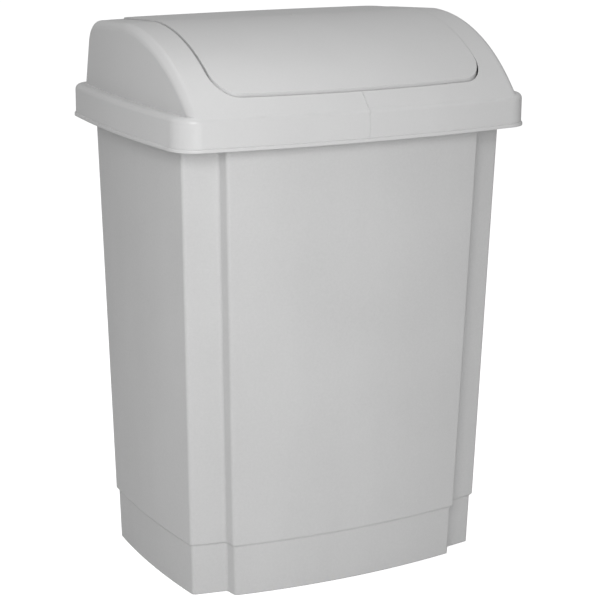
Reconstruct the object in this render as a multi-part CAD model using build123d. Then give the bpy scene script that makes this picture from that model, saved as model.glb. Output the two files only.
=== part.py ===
from build123d import *
import os

os.makedirs("parts", exist_ok=True)

# Swing-lid bin, all sizes in millimetres. The origin is the middle of the base on the floor,
# +Z is up, the front is towards -Y and X runs across the width.

wall = 2.0

# Bucket: its outline where it would meet the floor, and how much that grows per millimetre of height.
bucket_side = 172.2
bucket_corner_x = bucket_side - 5.0
bucket_corner_y = 96.3
bucket_groove_x = 131.7
bucket_groove_y = bucket_corner_y + 6.4
bucket_panel_x = bucket_groove_x - 2.2
bucket_panel_y = bucket_groove_y + 14.4
bucket_front = bucket_panel_y + 10.8
bucket_draft_x = 0.0277
bucket_draft_y = 0.0240
bucket_edge_radius = 4.0
plinth_height = 56.0
plinth_inset = 2.2
plinth_chamfer = 3.0
floor_recess = 4.0
foot_width = 12.0
floor_top = 7.5
seat_height = 492.5

# Rim: the upright skirt of the hood, which hangs around the flange of the bucket.
rim_side = bucket_side + 30.8
rim_front = bucket_front + 25.6
rim_corner_x = rim_side - 8.4
rim_corner_y = rim_front - 14.9
rim_corner_radius = 26.5
rim_bottom = seat_height - 28.5
rim_top = seat_height + 4.5
rim_shoulder_radius = 5.5
rim_bead = 1.3
rim_bead_height = 3.5
rim_clearance = 1.5
flange_depth = 10.0

# Dome of the hood: a round front that runs into a nearly flat top and an upright back.
dome_top = rim_top + 73.3
dome_foot = rim_top - 3.0
dome_inner_foot = seat_height - 0.5
dome_front_radius = 210.0
dome_front_ledge = 3.4
dome_crown_drop = 0.5
dome_front_bulge = 12.5
dome_back = rim_front - 13.0
dome_back_bulge = 12.5
dome_back_lean = 4.0
dome_back_radius = 26.0
dome_top_fall = 5.5
dome_side_foot = rim_side - 12.5
dome_side_top = rim_side - 18.0
dome_side_bow = 20.0
dome_end_radius = 9.0
bulge_at = 184.0

# Window in the dome and the flap that fills it.
window_half_width = rim_side - 51.5
window_front = rim_front - 17.0
window_front_bow = 10.0
window_back = dome_back - 32.0
window_front_radius = 28.0
window_back_radius = 12.0
flap_gap = 1.5
flap_proud = 1.3
flap_rib_thickness = 2.0
flap_rib_depth = 6.0
gate_mark_radius = 3.0
gate_mark_depth = 0.4
gate_mark_y = 8.0

# Pivot: two stub pins of the flap run in two lugs of the hood.
pivot_y = -16.44
pivot_z = dome_top - 9.5
pin_radius = 3.0
pin_clearance = 0.1
lug_inner = window_half_width + 1.5
lug_thickness = 6.5
lug_radius = 8.0
pin_end = lug_inner + lug_thickness - 1.5
ear_outer = window_half_width - flap_gap - 1.0
ear_thickness = 5.0
ear_radius = 7.0


def closed_face(edges):
    return make_face(Curve() + edges)


def bucket_outline(height, inset):
    """Cross-section of the bucket at one height, drawn in by the inset."""
    out_x = bucket_draft_x * height - inset
    out_y = bucket_draft_y * height - inset
    corner = (bucket_corner_x + out_x, bucket_corner_y + out_y)
    groove = (bucket_groove_x + out_x, bucket_groove_y + out_y)
    panel = (bucket_panel_x + out_x, bucket_panel_y + out_y)
    side = bucket_side + out_x
    front = bucket_front + out_y
    edges = []
    for sign in (-1, 1):
        edges.append(ThreePointArc(
            (sign * corner[0], -corner[1]), (sign * side, 0), (sign * corner[0], corner[1])))
        edges.append(ThreePointArc(
            (-panel[0], sign * panel[1]), (0, sign * front), (panel[0], sign * panel[1])))
        for turn in (-1, 1):
            edges.append(Line(
                (sign * corner[0], turn * corner[1]), (sign * groove[0], turn * groove[1])))
            edges.append(Line(
                (sign * groove[0], turn * groove[1]), (sign * panel[0], turn * panel[1])))
    face = closed_face(edges)
    face = fillet(face.vertices(), bucket_edge_radius)
    return Pos(0, 0, height) * face


def bucket_block(bottom, top, inset_bottom, inset_top):
    return loft([bucket_outline(bottom, inset_bottom), bucket_outline(top, inset_top)])


def rim_outline(inset):
    """Outline of the hood's rim, drawn in by the inset."""
    x = rim_corner_x - inset
    y = rim_corner_y - inset
    edges = []
    for sign in (-1, 1):
        edges.append(ThreePointArc((sign * x, -y), (sign * (rim_side - inset), 0), (sign * x, y)))
        edges.append(ThreePointArc((-x, sign * y), (0, sign * (rim_front - inset)), (x, sign * y)))
    face = closed_face(edges)
    return fillet(face.vertices(), rim_corner_radius - inset)


def rim_block(bottom, top, inset):
    return extrude(Pos(0, 0, bottom) * rim_outline(inset), top - bottom)


def dome_profile(x, grow, foot):
    """Front-to-back profile of the dome at one place across its width."""
    share = (x / bulge_at) ** 2
    foot_rise = dome_front_radius - (dome_top - rim_top)
    foot_reach = (dome_front_radius ** 2 - foot_rise ** 2) ** 0.5
    centre_y = dome_front_ledge - rim_front + foot_reach + dome_front_bulge * share
    crown = dome_top - dome_crown_drop * share
    centre_z = crown - dome_front_radius
    radius = dome_front_radius + grow
    back = dome_back - dome_back_bulge * share + grow
    foot_drop = foot - centre_z
    front_y = centre_y - (radius ** 2 - foot_drop ** 2) ** 0.5
    diagonal = radius * 0.5 ** 0.5
    roof_y = back - dome_back_lean - dome_back_radius
    roof_z = crown - dome_top_fall + grow
    turn = dome_back_radius * (1 - 0.5 ** 0.5)
    edges = [
        ThreePointArc(
            (front_y, foot), (centre_y - diagonal, centre_z + diagonal),
            (centre_y, centre_z + radius)),
        Line((centre_y, centre_z + radius), (roof_y, roof_z)),
        ThreePointArc(
            (roof_y, roof_z), (roof_y + dome_back_radius - turn, roof_z - turn),
            (roof_y + dome_back_radius, roof_z - dome_back_radius)),
        Line((roof_y + dome_back_radius, roof_z - dome_back_radius), (back, foot)),
        Line((back, foot), (front_y, foot)),
    ]
    return Plane(origin=(x, 0, 0), x_dir=(0, 1, 0), z_dir=(1, 0, 0)) * closed_face(edges)


def dome_block(grow, end_radius, foot=dome_foot):
    """Solid dome from the foot up, larger all round by grow."""
    reach = dome_side_foot + 25
    body = loft([dome_profile(x, grow, foot) for x in (-reach, -reach / 2, 0, reach / 2, reach)])
    ends = []
    for height, side in ((foot, dome_side_foot), (dome_top + 5, dome_side_top)):
        x = side + grow
        depth = dome_back + 80
        edges = [Line((-x + dome_side_bow, sign * depth), (x - dome_side_bow, sign * depth))
                 for sign in (-1, 1)]
        edges += [ThreePointArc(
            (sign * (x - dome_side_bow), -depth), (sign * x, 0), (sign * (x - dome_side_bow), depth))
            for sign in (-1, 1)]
        ends.append(Pos(0, 0, height) * closed_face(edges))
    body = body & loft(ends)
    rims = [edge for edge in body.edges()
            if abs(edge.center().X) > dome_side_top - 15 and edge.center().Z > foot + 3]
    return fillet(rims, end_radius)


def window_block(inset, top):
    """Upright block with the outline of the window, drawn in by the inset."""
    x = window_half_width - inset
    front = window_front - inset
    back = window_back - inset
    face = closed_face([
        ThreePointArc((-x, -front + window_front_bow), (0, -front), (x, -front + window_front_bow)),
        Line((x, -front + window_front_bow), (x, back)),
        Line((x, back), (-x, back)),
        Line((-x, back), (-x, -front + window_front_bow)),
    ])
    front_corners = face.vertices().sort_by(Axis.Y)[:2]
    face = fillet(front_corners, window_front_radius - inset)
    back_corners = face.vertices().sort_by(Axis.Y)[-2:]
    face = fillet(back_corners, window_back_radius - inset)
    return extrude(Pos(0, 0, dome_foot) * face, top - dome_foot)


def pivot_disc(side, inner, thickness, radius):
    """Disc about the pivot line, its near face at inner on the given side."""
    middle = side * (inner + thickness / 2)
    return Pos(middle, pivot_y, pivot_z) * Rot(0, 90, 0) * Cylinder(radius, thickness)


def hanging_lug(side, inner, thickness, radius):
    """Rounded lug about the pivot line that runs up into whatever is above it."""
    middle = side * (inner + thickness / 2)
    upright = Pos(middle, pivot_y, pivot_z + 15) * Box(thickness, 2 * radius, 30)
    return pivot_disc(side, inner, thickness, radius) + upright


# Bucket.
plinth_top = plinth_height - plinth_chamfer
bucket = bucket_block(0, plinth_top, plinth_inset, plinth_inset)
bucket += bucket_block(plinth_top, plinth_height, plinth_inset, 0)
bucket += bucket_block(plinth_height, seat_height, 0, 0)
flange = rim_block(seat_height - wall, seat_height, wall + rim_clearance)
lip = rim_block(seat_height - flange_depth, seat_height, wall + rim_clearance)
lip -= rim_block(seat_height - flange_depth, seat_height, 2 * wall + rim_clearance)
bucket += flange
bucket += lip
low_inset = plinth_inset + wall
bucket -= bucket_block(floor_top, plinth_height + 4, low_inset, low_inset)
bucket -= bucket_block(plinth_height + 4, seat_height + 1, wall, wall)
bucket -= bucket_block(0, floor_recess, plinth_inset + foot_width, plinth_inset + foot_width)

# Hood.
skirt = rim_block(rim_bottom, rim_top, 0)
skirt = fillet(skirt.faces().sort_by(Axis.Z)[-1].edges(), rim_shoulder_radius)
bead = rim_block(rim_bottom, rim_bottom + rim_bead_height, -rim_bead)
bead = fillet(bead.faces().sort_by(Axis.Z)[-1].edges(), rim_bead)
hood = skirt + bead + dome_block(0, dome_end_radius)
hood -= rim_block(rim_bottom, seat_height, wall)
hood -= dome_block(-wall, dome_end_radius - wall, dome_inner_foot)
hood -= window_block(0, dome_top + 20)

# Flap.
flap = dome_block(flap_proud, dome_end_radius + flap_proud)
flap -= dome_block(flap_proud - wall, dome_end_radius + flap_proud - wall)
flap = flap & window_block(flap_gap, dome_top + 20)
rib_foot = flap_proud - wall - flap_rib_depth
rib = dome_block(flap_proud - wall / 2, dome_end_radius + flap_proud - wall / 2)
rib -= dome_block(rib_foot, dome_end_radius + rib_foot)
rib = rib & (window_block(flap_gap, dome_top + 20)
             - window_block(flap_gap + flap_rib_thickness, dome_top + 20))
flap += rib

under_dome = dome_block(-wall / 2, dome_end_radius - wall / 2)
under_flap = dome_block(flap_proud - wall / 2, dome_end_radius + flap_proud - wall / 2)
for side in (-1, 1):
    lug = hanging_lug(side, lug_inner, lug_thickness, lug_radius) & under_dome
    lug -= pivot_disc(side, lug_inner, lug_thickness, pin_radius + pin_clearance)
    hood += lug
    ear_inner = ear_outer - ear_thickness
    ear = hanging_lug(side, ear_inner, ear_thickness, ear_radius) & under_flap
    flap += ear + pivot_disc(side, ear_inner + 1, pin_end - ear_inner - 1, pin_radius)
flap -= (Pos(0, gate_mark_y, dome_top + flap_proud - gate_mark_depth + 5)
         * Cylinder(gate_mark_radius, 10))

for name, shape in (("bucket", bucket), ("hood", hood), ("flap", flap)):
    export_step(shape, f"parts/{name}.step")
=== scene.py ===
import math

import bmesh
import bpy
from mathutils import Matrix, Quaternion, Vector


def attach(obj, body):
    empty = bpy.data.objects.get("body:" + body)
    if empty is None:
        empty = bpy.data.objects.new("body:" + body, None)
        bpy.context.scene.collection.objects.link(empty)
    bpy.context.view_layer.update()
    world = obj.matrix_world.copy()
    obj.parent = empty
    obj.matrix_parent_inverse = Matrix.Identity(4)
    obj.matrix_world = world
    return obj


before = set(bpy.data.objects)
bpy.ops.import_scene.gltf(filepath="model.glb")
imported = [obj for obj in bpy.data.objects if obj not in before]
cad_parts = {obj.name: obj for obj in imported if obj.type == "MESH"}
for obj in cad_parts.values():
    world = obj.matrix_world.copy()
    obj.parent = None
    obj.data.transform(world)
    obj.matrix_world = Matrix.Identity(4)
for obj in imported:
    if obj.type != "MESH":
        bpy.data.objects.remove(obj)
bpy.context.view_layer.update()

# The view: a long lens a little above the top of the bin, turned to its left front corner, so
# that the left side, the whole front and a little of the top show.
camera_azimuth = math.radians(-28.04)
camera_height_angle = math.radians(14.37)
camera_roll = math.radians(0.40)
camera_distance = 2.065
camera_aim = Vector((0.0060, 0.0, 0.2692))

camera_data = bpy.data.cameras.new("camera")
camera_data.sensor_width = 36.0
camera_data.lens = 116.2
camera_data.clip_end = 50.0
camera = bpy.data.objects.new("camera", camera_data)
bpy.context.scene.collection.objects.link(camera)
towards_camera = Vector((
    math.sin(camera_azimuth) * math.cos(camera_height_angle),
    -math.cos(camera_azimuth) * math.cos(camera_height_angle),
    math.sin(camera_height_angle),
))
camera.location = camera_aim + towards_camera * camera_distance
level_view = (-towards_camera).to_track_quat("-Z", "Y")
camera.rotation_euler = (level_view @ Quaternion((0, 0, 1), camera_roll)).to_euler()
bpy.context.scene.camera = camera
bpy.context.scene.view_settings.view_transform = "Standard"

# The studio: white paper on the floor and a white surround, which the camera sees as plain white.
# A soft lamp stands close in front on the left, with a low one beside it, a wide one above and a
# weak one behind the left side.
white = (1.0, 1.0, 1.0, 1.0)
surround_light = 0.29
backdrop_light = 1.0
lamp_target = Vector((0.0, 0.0, 0.4))
lamps = (
    ("front_left_lamp", (-0.75, -1.2, 0.9), 0.6, 8.4),
    ("low_lamp", (-0.4, -1.6, 0.4), 0.8, 3.1),
    ("top_lamp", (0.1, -0.1, 2.2), 1.4, 8.4),
    ("back_left_lamp", (-1.4, 0.8, 1.2), 0.9, 1.9),
)

surround = bpy.data.worlds.new("studio")
surround.use_nodes = True
bpy.context.scene.world = surround
tree = surround.node_tree
tree.nodes.clear()
lighting = tree.nodes.new("ShaderNodeBackground")
lighting.inputs["Color"].default_value = white
lighting.inputs["Strength"].default_value = surround_light
backdrop = tree.nodes.new("ShaderNodeBackground")
backdrop.inputs["Color"].default_value = white
backdrop.inputs["Strength"].default_value = backdrop_light
seen_by = tree.nodes.new("ShaderNodeLightPath")
choice = tree.nodes.new("ShaderNodeMixShader")
surround_output = tree.nodes.new("ShaderNodeOutputWorld")
tree.links.new(seen_by.outputs["Is Camera Ray"], choice.inputs["Fac"])
tree.links.new(lighting.outputs["Background"], choice.inputs[1])
tree.links.new(backdrop.outputs["Background"], choice.inputs[2])
tree.links.new(choice.outputs["Shader"], surround_output.inputs["Surface"])

for lamp_name, stand, size, power in lamps:
    lamp_data = bpy.data.lights.new(lamp_name, "AREA")
    lamp_data.size = size
    lamp_data.energy = power
    lamp = bpy.data.objects.new(lamp_name, lamp_data)
    lamp.location = stand
    lamp.rotation_euler = (lamp_target - Vector(stand)).to_track_quat("-Z", "Y").to_euler()
    bpy.context.scene.collection.objects.link(lamp)

floor_reach = 12.0
floor_drop = 0.0005
paper_white = (0.88, 0.88, 0.88, 1.0)
paper_roughness = 0.9
paper_glow = 0.8

floor_mesh = bpy.data.meshes.new("floor")
floor_corners = [
    (x * floor_reach, y * floor_reach, -floor_drop) for x, y in ((-1, -1), (1, -1), (1, 1), (-1, 1))]
floor_mesh.from_pydata(floor_corners, [], [(0, 1, 2, 3)])
floor = bpy.data.objects.new("floor", floor_mesh)
bpy.context.scene.collection.objects.link(floor)
paper = bpy.data.materials.new("floor_paper")
paper.use_nodes = True
tree = paper.node_tree
paper_shader = tree.nodes["Principled BSDF"]
paper_shader.inputs["Base Color"].default_value = paper_white
paper_shader.inputs["Roughness"].default_value = paper_roughness
paper_shader.inputs["Emission Color"].default_value = white
seen_by = tree.nodes.new("ShaderNodeLightPath")
glow = tree.nodes.new("ShaderNodeMath")
glow.operation = "MULTIPLY"
glow.inputs[1].default_value = paper_glow
tree.links.new(seen_by.outputs["Is Camera Ray"], glow.inputs[0])
tree.links.new(glow.outputs["Value"], paper_shader.inputs["Emission Strength"])
floor_mesh.materials.append(paper)

# The bucket: one tall tapered injection moulding in light grey polypropylene, with a stepped
# front and back panel, a plinth round its foot and a flange round its mouth. Its surface has
# the fine dull grain of a spark-eroded mould.
bucket_grey = 0.63
# Painted highlight: the paler grey painted along the bucket's edges, standing in for light caught on
# their rounding.
bucket_edge_highlight_grey = 0.69
bucket_roughness = 0.52
bucket_edge_rounding = 0.0015
bucket_grain = {
    "Pits per Metre": 800.0, "Mottle": 0.09, "Flow Marks": 0.05, "Gloss Change": 0.12}
bucket_bump = (0.35, 0.0004)


def effect_group(name, sizes, results):
    """Empty node group with number inputs and the named results."""
    group = bpy.data.node_groups.new(name, "ShaderNodeTree")
    for label, value in sizes:
        socket = group.interface.new_socket(label, in_out="INPUT", socket_type="NodeSocketFloat")
        socket.default_value = value
    for label, kind in results:
        group.interface.new_socket(label, in_out="OUTPUT", socket_type=kind)
    start = group.nodes.new("NodeGroupInput")
    end = group.nodes.new("NodeGroupOutput")
    return group, start, end


def number(tree, operation, first, second):
    """Math node; each input is a socket or a plain value."""
    node = tree.nodes.new("ShaderNodeMath")
    node.operation = operation
    for socket, value in zip(node.inputs, (first, second)):
        if isinstance(value, bpy.types.NodeSocket):
            tree.links.new(value, socket)
        else:
            socket.default_value = value
    return node.outputs["Value"]


def cloud(tree, coordinates, scale, detail, stretch=(1.0, 1.0, 1.0)):
    """Soft noise from 0 to 1 over the piece, drawn out by the stretch."""
    mapping = tree.nodes.new("ShaderNodeMapping")
    mapping.inputs["Scale"].default_value = stretch
    tree.links.new(coordinates, mapping.inputs["Vector"])
    noise = tree.nodes.new("ShaderNodeTexNoise")
    noise.inputs["Detail"].default_value = detail
    if isinstance(scale, bpy.types.NodeSocket):
        tree.links.new(scale, noise.inputs["Scale"])
    else:
        noise.inputs["Scale"].default_value = scale
    tree.links.new(mapping.outputs["Vector"], noise.inputs["Vector"])
    return noise.outputs["Fac"]


# Mould grain: fine pits over walls that are never quite flat, slow cloudy changes of tone and
# faint upright flow marks of the melt. The scales are clouds per metre.
speckle_scale = 420.0
blotch_scale = 9.0
flow_scale = 26.0
flow_stretch = (1.0, 1.0, 0.12)
wave_scale = 7.0
wave_height = 1.6

mould_grain, start, end = effect_group(
    "mould_grain",
    (("Pits per Metre", 900.0), ("Mottle", 0.03), ("Flow Marks", 0.02), ("Gloss Change", 0.1)),
    (("Height", "NodeSocketFloat"), ("Tone", "NodeSocketFloat"), ("Gloss", "NodeSocketFloat")))
on_piece = mould_grain.nodes.new("ShaderNodeTexCoord").outputs["Object"]
pits = cloud(mould_grain, on_piece, start.outputs["Pits per Metre"], 2.0)
speckle = cloud(mould_grain, on_piece, speckle_scale, 3.0)
blotch = cloud(mould_grain, on_piece, blotch_scale, 3.0)
flow = cloud(mould_grain, on_piece, flow_scale, 2.0, flow_stretch)
waves = number(mould_grain, "MULTIPLY", cloud(mould_grain, on_piece, wave_scale, 1.0), wave_height)
speckle, blotch, flow = [
    number(mould_grain, "SUBTRACT", pattern, 0.5) for pattern in (speckle, blotch, flow)]
mottled = number(mould_grain, "ADD", speckle, blotch)
mottled = number(mould_grain, "MULTIPLY", mottled, start.outputs["Mottle"])
streaked = number(mould_grain, "MULTIPLY", flow, start.outputs["Flow Marks"])
tone = number(mould_grain, "ADD", number(mould_grain, "ADD", mottled, streaked), 1.0)
gloss = number(mould_grain, "MULTIPLY", blotch, start.outputs["Gloss Change"])
height = number(mould_grain, "ADD", pits, waves)
mould_grain.links.new(height, end.inputs["Height"])
mould_grain.links.new(tone, end.inputs["Tone"])
mould_grain.links.new(gloss, end.inputs["Gloss"])

# Soft edge: the small rounding that every moulded edge has, and a mask of where it is, for the
# painted edge highlight.
edge_samples = 6
edge_sharpness = 4.0

soft_edge, start, end = effect_group(
    "soft_edge", (("Rounding", 0.001),),
    (("Normal", "NodeSocketVector"), ("Edge", "NodeSocketFloat")))
rounding = soft_edge.nodes.new("ShaderNodeBevel")
rounding.samples = edge_samples
soft_edge.links.new(start.outputs["Rounding"], rounding.inputs["Radius"])
surface = soft_edge.nodes.new("ShaderNodeNewGeometry")
likeness = soft_edge.nodes.new("ShaderNodeVectorMath")
likeness.operation = "DOT_PRODUCT"
soft_edge.links.new(rounding.outputs["Normal"], likeness.inputs[0])
soft_edge.links.new(surface.outputs["Normal"], likeness.inputs[1])
edge = number(soft_edge, "SUBTRACT", 1.0, likeness.outputs["Value"])
edge = number(soft_edge, "MINIMUM", number(soft_edge, "MULTIPLY", edge, edge_sharpness), 1.0)
soft_edge.links.new(rounding.outputs["Normal"], end.inputs["Normal"])
soft_edge.links.new(edge, end.inputs["Edge"])

plastic_ior = 1.49


def moulded_plastic(name, grey, edge_highlight_grey, roughness, edge_rounding, grain, bump_amount):
    """Grey plastic with mould grain and a painted highlight that makes its edges slightly paler."""
    material = bpy.data.materials.new(name)
    material.use_nodes = True
    tree = material.node_tree
    shader = tree.nodes["Principled BSDF"]
    shader.inputs["IOR"].default_value = plastic_ior
    grained = tree.nodes.new("ShaderNodeGroup")
    grained.node_tree = mould_grain
    for label, value in grain.items():
        grained.inputs[label].default_value = value
    edged = tree.nodes.new("ShaderNodeGroup")
    edged.node_tree = soft_edge
    edged.inputs["Rounding"].default_value = edge_rounding
    # Painted highlight: along the edge mask the colour is mixed towards a paler grey, standing in
    # for light caught on the rounded edges.
    edge_highlight_mix = tree.nodes.new("ShaderNodeMix")
    edge_highlight_mix.data_type = "RGBA"
    edge_highlight_mix.inputs["A"].default_value = (grey, grey, grey, 1.0)
    edge_highlight_mix.inputs["B"].default_value = (edge_highlight_grey, edge_highlight_grey, edge_highlight_grey, 1.0)
    tree.links.new(edged.outputs["Edge"], edge_highlight_mix.inputs["Factor"])
    toned = tree.nodes.new("ShaderNodeVectorMath")
    toned.operation = "SCALE"
    tree.links.new(edge_highlight_mix.outputs["Result"], toned.inputs[0])
    tree.links.new(grained.outputs["Tone"], toned.inputs["Scale"])
    tree.links.new(toned.outputs["Vector"], shader.inputs["Base Color"])
    dulled = number(tree, "ADD", grained.outputs["Gloss"], roughness)
    tree.links.new(dulled, shader.inputs["Roughness"])
    bump = tree.nodes.new("ShaderNodeBump")
    bump.inputs["Strength"].default_value, bump.inputs["Distance"].default_value = bump_amount
    tree.links.new(grained.outputs["Height"], bump.inputs["Height"])
    tree.links.new(edged.outputs["Normal"], bump.inputs["Normal"])
    tree.links.new(bump.outputs["Normal"], shader.inputs["Normal"])
    return material


def dress(node, material):
    """Put the material on the piece that the frame already holds."""
    for piece_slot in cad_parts[node].material_slots:
        piece_slot.material = material


bucket_plastic = moulded_plastic(
    "bucket_plastic", bucket_grey, bucket_edge_highlight_grey, bucket_roughness, bucket_edge_rounding,
    bucket_grain, bucket_bump)
dress("bucket", bucket_plastic)

# The hood: a domed frame moulded in the same grey, a little smoother and brighter, that drops
# over the bucket's flange. It has a round front, a nearly flat top and a window for the flap.
hood_grey = 0.68
# Painted highlight: the paler grey painted along the hood's edges, standing in for light caught on
# their rounding.
hood_edge_highlight_grey = 0.75
hood_roughness = 0.33
hood_edge_rounding = 0.001
lid_grain = {"Pits per Metre": 600.0, "Mottle": 0.04, "Flow Marks": 0.03, "Gloss Change": 0.1}
lid_bump = (0.15, 0.0003)

hood_plastic = moulded_plastic(
    "hood_plastic", hood_grey, hood_edge_highlight_grey, hood_roughness, hood_edge_rounding,
    lid_grain, lid_bump)
dress("hood", hood_plastic)

# The parting seam: where the halves of the hood's mould met, a hair of plastic stands up down the
# middle of the front, from the window over the shoulder to the foot of the rim.
seam_half_width = 0.0006
seam_crest_half_width = 0.4 * seam_half_width
seam_height = 0.0003
seam_sunk = 0.0001
seam_steps = 8
dome_radius = 0.2100
dome_centre = Vector((0.0, 0.0093, 0.3603))
dome_turn = (math.radians(44.0), math.radians(49.7))
shoulder_radius = 0.0055
shoulder_centre = Vector((0.0, -0.1480, 0.4915))
shoulder_turn = (math.radians(31.0), math.radians(90.0))
rim_face_bottom = 0.4680

seam_path = []
for centre, radius, (turn_from, turn_to) in (
        (dome_centre, dome_radius, dome_turn), (shoulder_centre, shoulder_radius, shoulder_turn)):
    for step in range(seam_steps + 1):
        turn = turn_from + (turn_to - turn_from) * step / seam_steps
        outward = Vector((0.0, -math.sin(turn), math.cos(turn)))
        seam_path.append((centre + outward * radius, outward))
last_point, outward = seam_path[-1]
seam_path.append((Vector((0.0, last_point.y, rim_face_bottom)), outward))

seam_mesh = bpy.data.meshes.new("parting_seam")
seam_shape = bmesh.new()
across = Vector((1.0, 0.0, 0.0))
rows = []
for point, outward in seam_path:
    foot = point - outward * seam_sunk
    crest = point + outward * seam_height
    rows.append([
        seam_shape.verts.new(foot - across * seam_half_width),
        seam_shape.verts.new(crest - across * seam_crest_half_width),
        seam_shape.verts.new(crest + across * seam_crest_half_width),
        seam_shape.verts.new(foot + across * seam_half_width),
    ])
for upper, lower in zip(rows, rows[1:]):
    for this, following in ((0, 1), (1, 2), (2, 3), (3, 0)):
        seam_shape.faces.new((upper[this], lower[this], lower[following], upper[following]))
seam_shape.faces.new(rows[0])
seam_shape.faces.new(reversed(rows[-1]))
bmesh.ops.recalc_face_normals(seam_shape, faces=seam_shape.faces)
seam_shape.to_mesh(seam_mesh)
seam_shape.free()
seam = bpy.data.objects.new("parting_seam", seam_mesh)
bpy.context.scene.collection.objects.link(seam)
seam_mesh.materials.append(hood_plastic)
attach(seam, "hood")

# The flap: a thin curved moulding that fills the window, turns on two stub pins and hangs shut
# by its own weight. The injection gate left a small round mark on its top.
flap_grey = 0.665
# Painted highlight: the paler grey painted along the flap's edges, standing in for light caught on
# their rounding.
flap_edge_highlight_grey = 0.76
flap_roughness = 0.33
flap_edge_rounding = 0.0008

flap_plastic = moulded_plastic(
    "flap_plastic", flap_grey, flap_edge_highlight_grey, flap_roughness, flap_edge_rounding,
    lid_grain, lid_bump)
dress("flap", flap_plastic)

# The gate nub: the stub of plastic left in the middle of the gate mark when the sprue was broken
# off. It stays just under the surface around it.
nub_radius = 0.0013
nub_height = 0.00035
nub_unevenness = 0.12
nub_foot = Vector((0.0, 0.008, 0.5712))

nub_mesh = bpy.data.meshes.new("gate_nub")
nub_shape = bmesh.new()
bmesh.ops.create_uvsphere(nub_shape, u_segments=20, v_segments=10, radius=nub_radius)
for corner in nub_shape.verts:
    corner.co.z *= nub_height / nub_radius
    corner.co.x *= 1.0 + nub_unevenness * math.sin(3.0 * math.atan2(corner.co.y, corner.co.x))
    corner.co += nub_foot
for face in nub_shape.faces:
    face.smooth = True
nub_shape.to_mesh(nub_mesh)
nub_shape.free()
nub = bpy.data.objects.new("gate_nub", nub_mesh)
bpy.context.scene.collection.objects.link(nub)
nub_mesh.materials.append(flap_plastic)
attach(nub, "flap")
